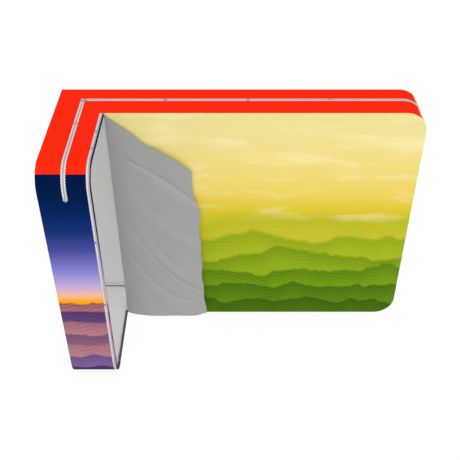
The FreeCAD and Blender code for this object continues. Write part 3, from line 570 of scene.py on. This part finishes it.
face_cloth("front_panel", meadow_knit, (INNER, RIGHT - SEAM_SINK), (FACE, FACE), (0, -1, 0))
face_cloth("back_panel", meadow_knit, (LEFT + SEAM_SINK, RIGHT - SEAM_SINK), (BACK, BACK),
           (0, 1, 0))
face_cloth("leg_side_panel", dusk_knit, (LEFT, LEFT), (BACK - SEAM_SINK, NOSE + SEAM_SINK),
           (-1, 0, 0))
end_cloth("right_end_panel", meadow_knit, MAIN, (FACE + SEAM_SINK, BACK - SEAM_SINK), ZIP_Y)
end_cloth("leg_end_panel", dusk_knit, LEG, (LEFT + SEAM_SINK, INNER - DOOR_EDGE), ZIP_X)
band_cloth("top_band_outer", (LEFT + SEAM_SINK, ZIP_X - ZIP_HALF), (ZIP_Y + ZIP_HALF, BACK - SEAM_SINK))
band_cloth("top_band_inner", (ZIP_X + ZIP_HALF, INNER - DOOR_EDGE), (FACE + SEAM_SINK, ZIP_Y - ZIP_HALF))
floor_cloth()


# Zips
STOP_HIGH = 12 * MM
BLOCK_ROUND = 0.25
PLACKET_FOLD = 1.5 * MM
FOLD_EASE = 0.3


def add_block(bm, place, axes, sizes):
    """Block with rounded edges at a place, turned to three axes."""
    turn = Matrix([axis * length for axis, length in zip(axes, sizes)]).transposed().to_4x4()
    made = bmesh.ops.create_cube(bm, size=1, matrix=Matrix.Translation(place) @ turn)
    edges = list({edge for vert in made["verts"] for edge in vert.link_edges})
    bmesh.ops.bevel(bm, geom=edges, offset=min(sizes) * BLOCK_ROUND, offset_type="OFFSET", segments=1,
                    profile=0.5, affect="EDGES", material=-1)


def add_block_along(bm, arm, start, distance, across, sizes):
    """Block that lies on the cover, at a distance along an arm."""
    place, ahead, outward = arm.station(start, distance)
    spot = place + arm.across * across + outward * sizes[2] / 2
    add_block(bm, spot, (ahead, arm.across, outward), sizes)


def add_row(bm, arm, start, end, across, shape, phase):
    """Row of like blocks along an arm, from a place on its top to a height on its end."""
    pitch, *sizes = shape
    count = int(arm.length(start, end) / pitch - phase)
    for number in range(count):
        add_block_along(bm, arm, start, (number + phase) * pitch, across, sizes)


def top_zip_half(name, x_range, y_range, side, phase):
    """Half of the top zip: its tape, the white bars woven along it, and its teeth at the chain."""
    bm = ell(x_range, y_range, TAPE_SINK, QUARTER, ZIP_END)
    tape = finish_piece(bm, f"{name}_tape", [tape_rose], [name])
    for part, shape, middle, material in (("teeth", TEETH, TOOTH_MIDDLE, tooth_acetal),
                                          ("bars", BARS, BAR_MIDDLE, thread_white)):
        bm = bmesh.new()
        add_row(bm, MAIN, ZIP_X, ZIP_END, ZIP_Y + side * middle, shape, phase)
        add_row(bm, LEG, -ZIP_Y, ZIP_END, ZIP_X - side * middle, shape, phase)
        finish_piece(bm, f"{name}_{part}", [material], thickness=0)


def door_zip_fixed():
    """Half of the door's zip along the edge of the leg's opening."""
    bm = bmesh.new()
    level = TOP - TAPE_SINK
    row = row_of(bm, [(x, FACE, level) for x in (INNER - DOOR_EDGE, INNER - PLACKET_FRONT)])
    row = over_the_top(bm, row, LEG, -FACE, QUARTER, CORNER)
    to_the_floor(bm, row, LEG)
    turn_out(bm, UP)
    tape = finish_piece(bm, "door_zip_tape", [tape_rose], ["door_zip_fixed"])
    box_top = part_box("zip_stops")[0].z + STOP_HIGH
    for part, shape, across, material in (("teeth", TEETH, DOOR_TOOTH_INSET + TOOTH_MIDDLE, tooth_acetal),
                                          ("bars", BARS, DOOR_BAR_INSET, thread_white)):
        bm = bmesh.new()
        add_row(bm, LEG, -FACE, box_top, INNER - across, shape, phase=1)
        finish_piece(bm, f"door_zip_{part}", [material], thickness=0)


def placket():
    """Folded facing along the opening's edge, printed as the leg's end is."""
    bm = bmesh.new()
    ease = PLACKET_FOLD * FOLD_EASE
    section = [(PLACKET_FRONT, 0), (PLACKET_FOLD, 0), (ease, ease), (0, PLACKET_FOLD), (0, PLACKET_SIDE)]
    row = row_of(bm, [(INNER - inset, FACE - CLOTH, TOP - drop) for inset, drop in section])
    row = over_the_top(bm, row, LEG, CLOTH - FACE, QUARTER, CORNER)
    to_the_floor(bm, row, LEG)
    turn_out(bm, UP)
    cloth = finish_piece(bm, "placket_cloth", [dusk_knit, lining_knit], ["door_placket"])


top_zip_half("top_zip_outer", (ZIP_X - ZIP_HALF, ZIP_X - ZIP_SLOT_HALF),
             (ZIP_Y + ZIP_SLOT_HALF, ZIP_Y + ZIP_HALF), side=1, phase=1)
top_zip_half("top_zip_inner", (ZIP_X + ZIP_SLOT_HALF, ZIP_X + ZIP_HALF),
             (ZIP_Y - ZIP_HALF, ZIP_Y - ZIP_SLOT_HALF), side=-1, phase=1.5)
door_zip_fixed()
placket()


# Door: a limp panel hung by one side, so that its weight draws folds from the hinge to the free edge
HEM = 6 * MM
HEAD = TOP - 12 * MM
FREE_HEM = 10 * MM
FREE_HEAD = 1729 * MM
# Sways of the head's line, by their share of the way out, half width and drop
HEAD_SWAYS = [(0.445, 0.09, 26 * MM), (0.84, 0.14, -14 * MM)]
SWAY_BEGIN = 0.5
CORNER_DROP = 3 * MM
CORNER_LIFT = 26 * MM
# Where the two free corners are drawn, by their shares of the way out and up
TOP_CORNER = (0.94, 0.975)
LOW_CORNER = (0.86, 0.03)
HINGE_OVERLAP = 2 * MM
HINGE_OFFSET = 2.2 * MM
DOOR_HINGE = Vector((INNER + HINGE_OFFSET, FACE - HINGE_OFFSET, 0))
DOOR_COLUMNS = 90
DOOR_ROWS = 190
DOOR_WIDTH = 695 * MM
DOOR_STAND = 22 * MM
STAND_REACH = 60 * MM
LEAN = 0.03
BELLY_DEPTH = 27 * MM
BELLY_HEIGHT = 0.35
BELLY_SKEW = 0.8
HEM_WIDTH = 14 * MM
HEM_DEPTH = 0.8 * MM
# Steps by which the free edge hangs further out: the height where each begins, its drop and its size
EDGE_STEPS = [(1.53, 0.2, 52 * MM), (1.2, 0.7, 12.5 * MM), (0.41, 0.35, 28.5 * MM)]
# Waves along the free edge: their length, the height of a crest and their size
EDGE_WAVES = [(0.46, 0.356, 4.1 * MM), (0.283, 0.106, 5.3 * MM)]
# Broad swells by their spacing, start and depth, along lines that fall less steeply away from the hinge
SWELLS = [(0.43, 0.4, 3 * MM), (0.23, 2.0, 1.5 * MM)]
SWELL_DROP = 1.15
SWELL_REACH = 0.42
# Creases: height on the hinge, slope and curve of the run, where it begins and ends, half width and depth
CREASES = [
    (1.93, -0.50, -0.32, 0.08, 1.0, 20 * MM, 8 * MM),
    (1.38, -2.40, 1.35, 0.03, 0.9, 24 * MM, 7 * MM),
    (1.77, -3.30, 2.25, 0.22, 0.6, 20 * MM, 4 * MM),
    (0.97, -2.25, 1.65, 0.04, 0.75, 24 * MM, 6 * MM)]
CREASE_FADE = 0.12


def smooth_step(value, low, high):
    """Share of the way from low to high, eased at both ends."""
    share = min(1, max(0, (value - low) / (high - low)))
    return share * share * (3 - 2 * share)


def door_width(level):
    """How far the free edge hangs from the hinge at a height."""
    steps = sum(size * smooth_step(begin - level, 0, drop) for begin, drop, size in EDGE_STEPS)
    waves = sum(size * math.cos(2 * math.pi * (level - crest) / length)
                for length, crest, size in EDGE_WAVES)
    return DOOR_WIDTH + steps + waves


def crease_depth(out, level):
    """How far the creases draw the cloth back at a place."""
    total = 0
    for height, slope, curve, begin, end, half, depth in CREASES:
        off = level - height - slope * out - curve * out ** 2
        off /= math.hypot(1, slope + 2 * curve * out)
        fade = smooth_step(out - begin, 0, CREASE_FADE) * smooth_step(end - out, 0, CREASE_FADE)
        total += depth * fade * math.exp(-(off / half) ** 2)
    return total


def swell_depth(out, level):
    """How far the broad swells stand out at a place."""
    start = level + SWELL_DROP * (1 - math.exp(-out / SWELL_REACH))
    swells = sum(depth * math.sin(2 * math.pi * start / spacing + phase)
                 for spacing, phase, depth in SWELLS)
    return swells * smooth_step(out, 0, SWELL_REACH)


def door_point(out_share, up_share, proud=0):
    """Point of the hanging door, by its shares of the way out from the hinge and up from the hem."""
    hinge_level = HEM + (HEAD - HEM) * up_share
    free_level = FREE_HEM + (FREE_HEAD - FREE_HEM) * up_share
    sway = sum(drop * math.exp(-((out_share - place) / half) ** 2) for place, half, drop in HEAD_SWAYS)
    top_corner = smooth_step(out_share, TOP_CORNER[0], 1) * smooth_step(up_share, TOP_CORNER[1], 1)
    low_corner = smooth_step(out_share, LOW_CORNER[0], 1)
    low_corner *= smooth_step(LOW_CORNER[1] - up_share, 0, LOW_CORNER[1])
    level = hinge_level + (free_level - hinge_level) * out_share
    level -= sway * smooth_step(up_share, SWAY_BEGIN, 1)
    level += CORNER_LIFT * low_corner - CORNER_DROP * top_corner
    out = out_share * (door_width(free_level) - CORNER_DROP / 2 * top_corner)
    belly = math.sin(math.pi * out_share ** BELLY_SKEW) * math.exp(-(level / BELLY_HEIGHT) ** 2)
    forward = DOOR_STAND * (1 - math.exp(-out / STAND_REACH)) + LEAN * out + BELLY_DEPTH * belly
    forward += swell_depth(out, level) - crease_depth(out, level) + proud
    return DOOR_HINGE + Vector((out - HINGE_OVERLAP * (1 - out_share), -forward, level))


def door_cloth():
    """The door's cloth, its plain reverse to the front and its print to the wall."""
    bm = bmesh.new()
    bmesh.ops.create_grid(bm, x_segments=DOOR_COLUMNS, y_segments=DOOR_ROWS, size=UNIT_HALF)
    for vert in bm.verts:
        vert.co = door_point(vert.co.x + UNIT_HALF, vert.co.y + UNIT_HALF)
    bm.normal_update()
    turn_out(bm, FRONT)
    bmesh.ops.inset_region(bm, faces=list(bm.faces), use_boundary=True, use_even_offset=True,
                           thickness=HEM_WIDTH, depth=-HEM_DEPTH)
    cloth = finish_piece(bm, "door_cloth", [door_knit, dusk_knit], ["door_panel"],
                         body="door")
    return cloth


DOOR_STRINGER = 22 * MM
STRINGER_BACK = -2.4 * MM
STRINGER_THICK = 0.6 * MM
STRINGER_STEPS = 220
STRINGER_SIDE = 0.66
STRINGER_HEAD = 0.85
FREE_TOOTH_INSET = 8 * MM
FREE_TOOTH_BACK = -4.4 * MM
EDGE_MIDDLE = 1.0


def border_shares(along, inward):
    """Shares of a point that lies inward from the door's free edge and head, some way along them."""
    out_step = inward / door_width(EDGE_MIDDLE)
    up_step = inward / FREE_HEAD
    up = min(along / STRINGER_SIDE, 1 - up_step)
    out = min(1 - STRINGER_HEAD * (along - STRINGER_SIDE) / (1 - STRINGER_SIDE), 1 - out_step)
    return out, up


def door_zip_free():
    """Half of the door's zip, on the printed side of the door along its free edge and head."""
    bm = bmesh.new()
    bmesh.ops.create_grid(bm, x_segments=2, y_segments=STRINGER_STEPS, size=UNIT_HALF)
    for vert in bm.verts:
        out, up = border_shares(vert.co.y + UNIT_HALF, (UNIT_HALF - vert.co.x) * DOOR_STRINGER)
        vert.co = door_point(out, up, STRINGER_BACK)
    bm.normal_update()
    turn_out(bm, -FRONT)
    tape = finish_piece(bm, "door_free_tape", [tape_grey], ["door_zip_free"], body="door",
                        thickness=STRINGER_THICK)
    teeth = bmesh.new()
    pitch, *sizes = TEETH
    length = FREE_HEAD / STRINGER_SIDE
    count = int(length / pitch)
    for number in range(1, count):
        spots = [door_point(*border_shares((number + step) / count, FREE_TOOTH_INSET), FREE_TOOTH_BACK)
                 for step in (-0.5, 0.5)]
        ahead = (spots[1] - spots[0]).normalized()
        across = ahead.cross(-FRONT).normalized()
        add_block(teeth, (spots[0] + spots[1]) / 2, (ahead, across, ahead.cross(across)), sizes)
    chain = finish_piece(teeth, "door_free_teeth", [tooth_acetal], body="door", thickness=0)
    return [tape, chain]


for piece in [door_cloth()] + door_zip_free():
    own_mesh(piece)


# Trim: bar tacks, stitches and the loop tapes on the low rails and bow, whose dark pile is also painted
# shadow
TACK_STEP = 20 * MM
TOP_TACKS = [ZIP_X + TACK_STEP, -631.5 * MM, 53.5 * MM]
LEG_TACKS = [ZIP_Y - TACK_STEP, 63 * MM]
DOOR_TACKS_TOP = [-54 * MM, -299 * MM]
DOOR_TACKS_END = [1623 * MM, 939 * MM]


def tacks():
    """Close bars of stitching that hold the tapes at intervals."""
    bm = bmesh.new()
    spots = [(MAIN, ZIP_X, along - ZIP_X, ZIP_Y) for along in TOP_TACKS]
    spots += [(LEG, -ZIP_Y, ZIP_Y - y, ZIP_X) for y in LEG_TACKS]
    bars = [(arm, start, distance, across + side * TOP_TACK_MIDDLE, TOP_TACK)
            for arm, start, distance, across in spots for side in (-1, 1)]
    distances = [FACE - y for y in DOOR_TACKS_TOP] + [LEG.length(-FACE, z) for z in DOOR_TACKS_END]
    bars += [(LEG, -FACE, distance, INNER - DOOR_BAR_INSET, DOOR_TACK) for distance in distances]
    for arm, start, distance, across, sizes in bars:
        add_block_along(bm, arm, start, distance, across, sizes)
    finish_piece(bm, "bar_tacks", [thread_grey], thickness=0)


def add_stitches(bm, arm, start, stop, across):
    """Row of stitches between two places along an arm, measured over its bend."""
    count = int((stop - start) / STITCH_PITCH)
    for number in range(count):
        place, ahead, outward = arm.station(start, number * STITCH_PITCH)
        axes = (ahead * STITCH_LONG, arm.across * STITCH_WIDE, outward * STITCH_WIDE)
        turn = Matrix(axes).transposed().to_4x4()
        bmesh.ops.create_icosphere(bm, subdivisions=1, radius=UNIT_HALF,
                                   matrix=Matrix.Translation(place + arm.across * across) @ turn)


def band_stitches():
    """Topstitching along both sides of the top zip and along the door's zip."""
    bm = bmesh.new()
    step = ZIP_HALF + STITCH_INSET
    main_stop, leg_stop = (arm.reach - CORNER + CORNER * EIGHTH for arm in (MAIN, LEG))
    for side in (-1, 1):
        add_stitches(bm, MAIN, ZIP_X - side * step, main_stop, ZIP_Y + side * step)
        add_stitches(bm, LEG, -ZIP_Y - side * step, leg_stop, ZIP_X - side * step)
    add_stitches(bm, LEG, -FACE + STITCH_INSET, leg_stop, INNER - DOOR_EDGE - STITCH_INSET)
    finish_piece(bm, "band_stitches", [thread_red], thickness=0)


# Loop tapes as painted shadow lines, by the turns in degrees from level between which they lie round their
# rails
SILL_OUT = Vector((1, 0, 0))
SILL_SHADOW_TURNS = (-5, 98)
BACK_SHADOW_TURNS = (-45, 15)
BOW_TURN = math.radians(60)


def tape_section(bm, middle, out, turns):
    """Row of edges across a loop tape, round a rail that faces out, and the tape's width."""
    begin, end = (math.radians(turn) for turn in turns)
    radius = RAIL_RADIUS + LOOP_THICK
    edge = bm.verts.new(middle + (out * math.cos(begin) + UP * math.sin(begin)) * radius)
    bmesh.ops.spin(bm, geom=[edge], cent=middle, axis=out.cross(UP), angle=end - begin, steps=LOOP_STEPS)
    return list(bm.edges), radius * (end - begin)


def finish_tape(bm, name, out, nodes=()):
    """Turn a loop tape's bmesh into a piece that lies on its rail, in the dark pile that is also painted
    shadow.
    """
    turn_out(bm, out)
    tape = finish_piece(bm, name, [pile_painted_shadow], nodes, thickness=LOOP_THICK)


def rail_tape(name, node, middle, out, turns):
    """Loop tape along a straight bottom rail, its dark pile a painted shadow line along the rail."""
    bm = bmesh.new()
    low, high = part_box(node)
    along = UP.cross(out)
    length = (high - low).dot(along)
    row, width = tape_section(bm, middle + along * low.dot(along), out, turns)
    carry(bm, row, along * length)
    finish_tape(bm, name, out, [node])


def bow_tape():
    """Loop tape that carries the sill's painted shadow line up the leg's low bend."""
    bm = bmesh.new()
    foot = Vector((INNER - TUBE_INSET, NOSE + CORNER, TUBE_INSET))
    row, width = tape_section(bm, foot, SILL_OUT, SILL_SHADOW_TURNS)
    bmesh.ops.rotate(bm, verts=bm.verts, cent=LEG.point(LEG.reach - CORNER, 0, CORNER),
                     matrix=Matrix.Rotation(-BOW_TURN, 3, LEG.across))
    bend(bm, row, LEG, CORNER, BOW_TURN)
    finish_tape(bm, "bow_painted_shadow_strip", SILL_OUT)


tacks()
band_stitches()
# Dark tapes on the sill and the back's low rail, which are also painted shadow where these rails meet the
# floor
rail_tape("sill_painted_shadow_strip", "sill_tape",
          Vector((INNER - TUBE_INSET, 0, TUBE_INSET)), SILL_OUT, SILL_SHADOW_TURNS)
rail_tape("back_rail_painted_shadow_strip", "back_rail_tape",
          Vector((0, BACK - TUBE_INSET, TUBE_INSET)), FRONT, BACK_SHADOW_TURNS)
bow_tape()


# Stage, light and camera
FLOOR_HALF = 40
FLOOR_GLOW = 1.06
GLOW_SHARE = 0.8
WORLD_LEVEL = 0.56
# Far lamps: the way each shines, its strength, its softness in degrees, and whether it throws a shadow
LAMPS = {
    "key": ((0.1, 0.96, -0.27), 0.28, 22, True),
    "top": ((0, 0.2, -0.98), 0.3, 22, True),
    "fill": ((0, 0.66, -0.75), 1.25, 10, False),
}
CAMERA_PLACE = (LEFT + 1.429, NOSE - 4.379, 5.335)
CAMERA_PITCH = math.radians(39.297)
CAMERA_LENS = 57.79
CAMERA_SENSOR = 36


def stage_floor():
    """White floor that shows the object's shadow softly."""
    bm = bmesh.new()
    bmesh.ops.create_grid(bm, x_segments=1, y_segments=1, size=FLOOR_HALF)
    mesh = bpy.data.meshes.new("floor")
    bm.to_mesh(mesh)
    bm.free()
    floor = bpy.data.objects.new("floor", mesh)
    bpy.context.scene.collection.objects.link(floor)
    material, tree, shader = new_material("white_floor", Roughness=0.9, Specular_IOR_Level=0.1)
    shader.inputs["Base Color"].default_value = linear("#F4F4F4")
    seen = add(tree, "LightPath", out="Is Camera Ray")
    white = add(tree, "Emission", {"Strength": FLOOR_GLOW})
    share = add(tree, "Math", {0: seen, 1: GLOW_SHARE}, operation="MULTIPLY")
    both = add(tree, "MixShader", {0: share, 1: shader.outputs[0], 2: white})
    tree.links.new(both, tree.nodes["Material Output"].inputs["Surface"])
    mesh.materials.append(material)


def studio_world(level):
    """Even white surroundings, white to the eye and in reflections."""
    world = bpy.data.worlds.new("studio")
    bpy.context.scene.world = world
    world.use_nodes = True
    tree = world.node_tree
    paths = add(tree, "LightPath").node.outputs
    shown = paths["Is Camera Ray"]
    for name in ("Is Glossy Ray", "Is Transmission Ray"):
        shown = add(tree, "Math", {0: shown, 1: paths[name]}, operation="MAXIMUM")
    strength = add(tree, "MapRange", {"Value": shown, "To Min": level, "To Max": 1.0})
    tree.links.new(strength, tree.nodes["Background"].inputs["Strength"])
    tree.nodes["Background"].inputs["Color"].default_value = (1, 1, 1, 1)


def sun(name, direction, strength, softness, shadow):
    """Far lamp that shines one way; a fill throws no shadow."""
    lamp = bpy.data.lights.new(name, "SUN")
    lamp.energy = strength
    lamp.angle = math.radians(softness)
    lamp.use_shadow = shadow
    light = bpy.data.objects.new(name, lamp)
    bpy.context.scene.collection.objects.link(light)
    light.rotation_mode = "QUATERNION"
    light.rotation_quaternion = Vector(direction).to_track_quat("-Z", "Y")


def add_camera():
    """Camera level in roll and square to the long wall, looking down on it from the front."""
    lens = bpy.data.cameras.new("camera")
    lens.sensor_width = CAMERA_SENSOR
    lens.lens = CAMERA_LENS
    camera = bpy.data.objects.new("camera", lens)
    bpy.context.scene.collection.objects.link(camera)
    camera.location = CAMERA_PLACE
    camera.rotation_euler = (QUARTER - CAMERA_PITCH, 0, 0)
    bpy.context.scene.camera = camera


stage_floor()
studio_world(WORLD_LEVEL)
for lamp_name, settings in LAMPS.items():
    sun(lamp_name, *settings)
add_camera()
bpy.context.scene.view_settings.view_transform = "Standard"
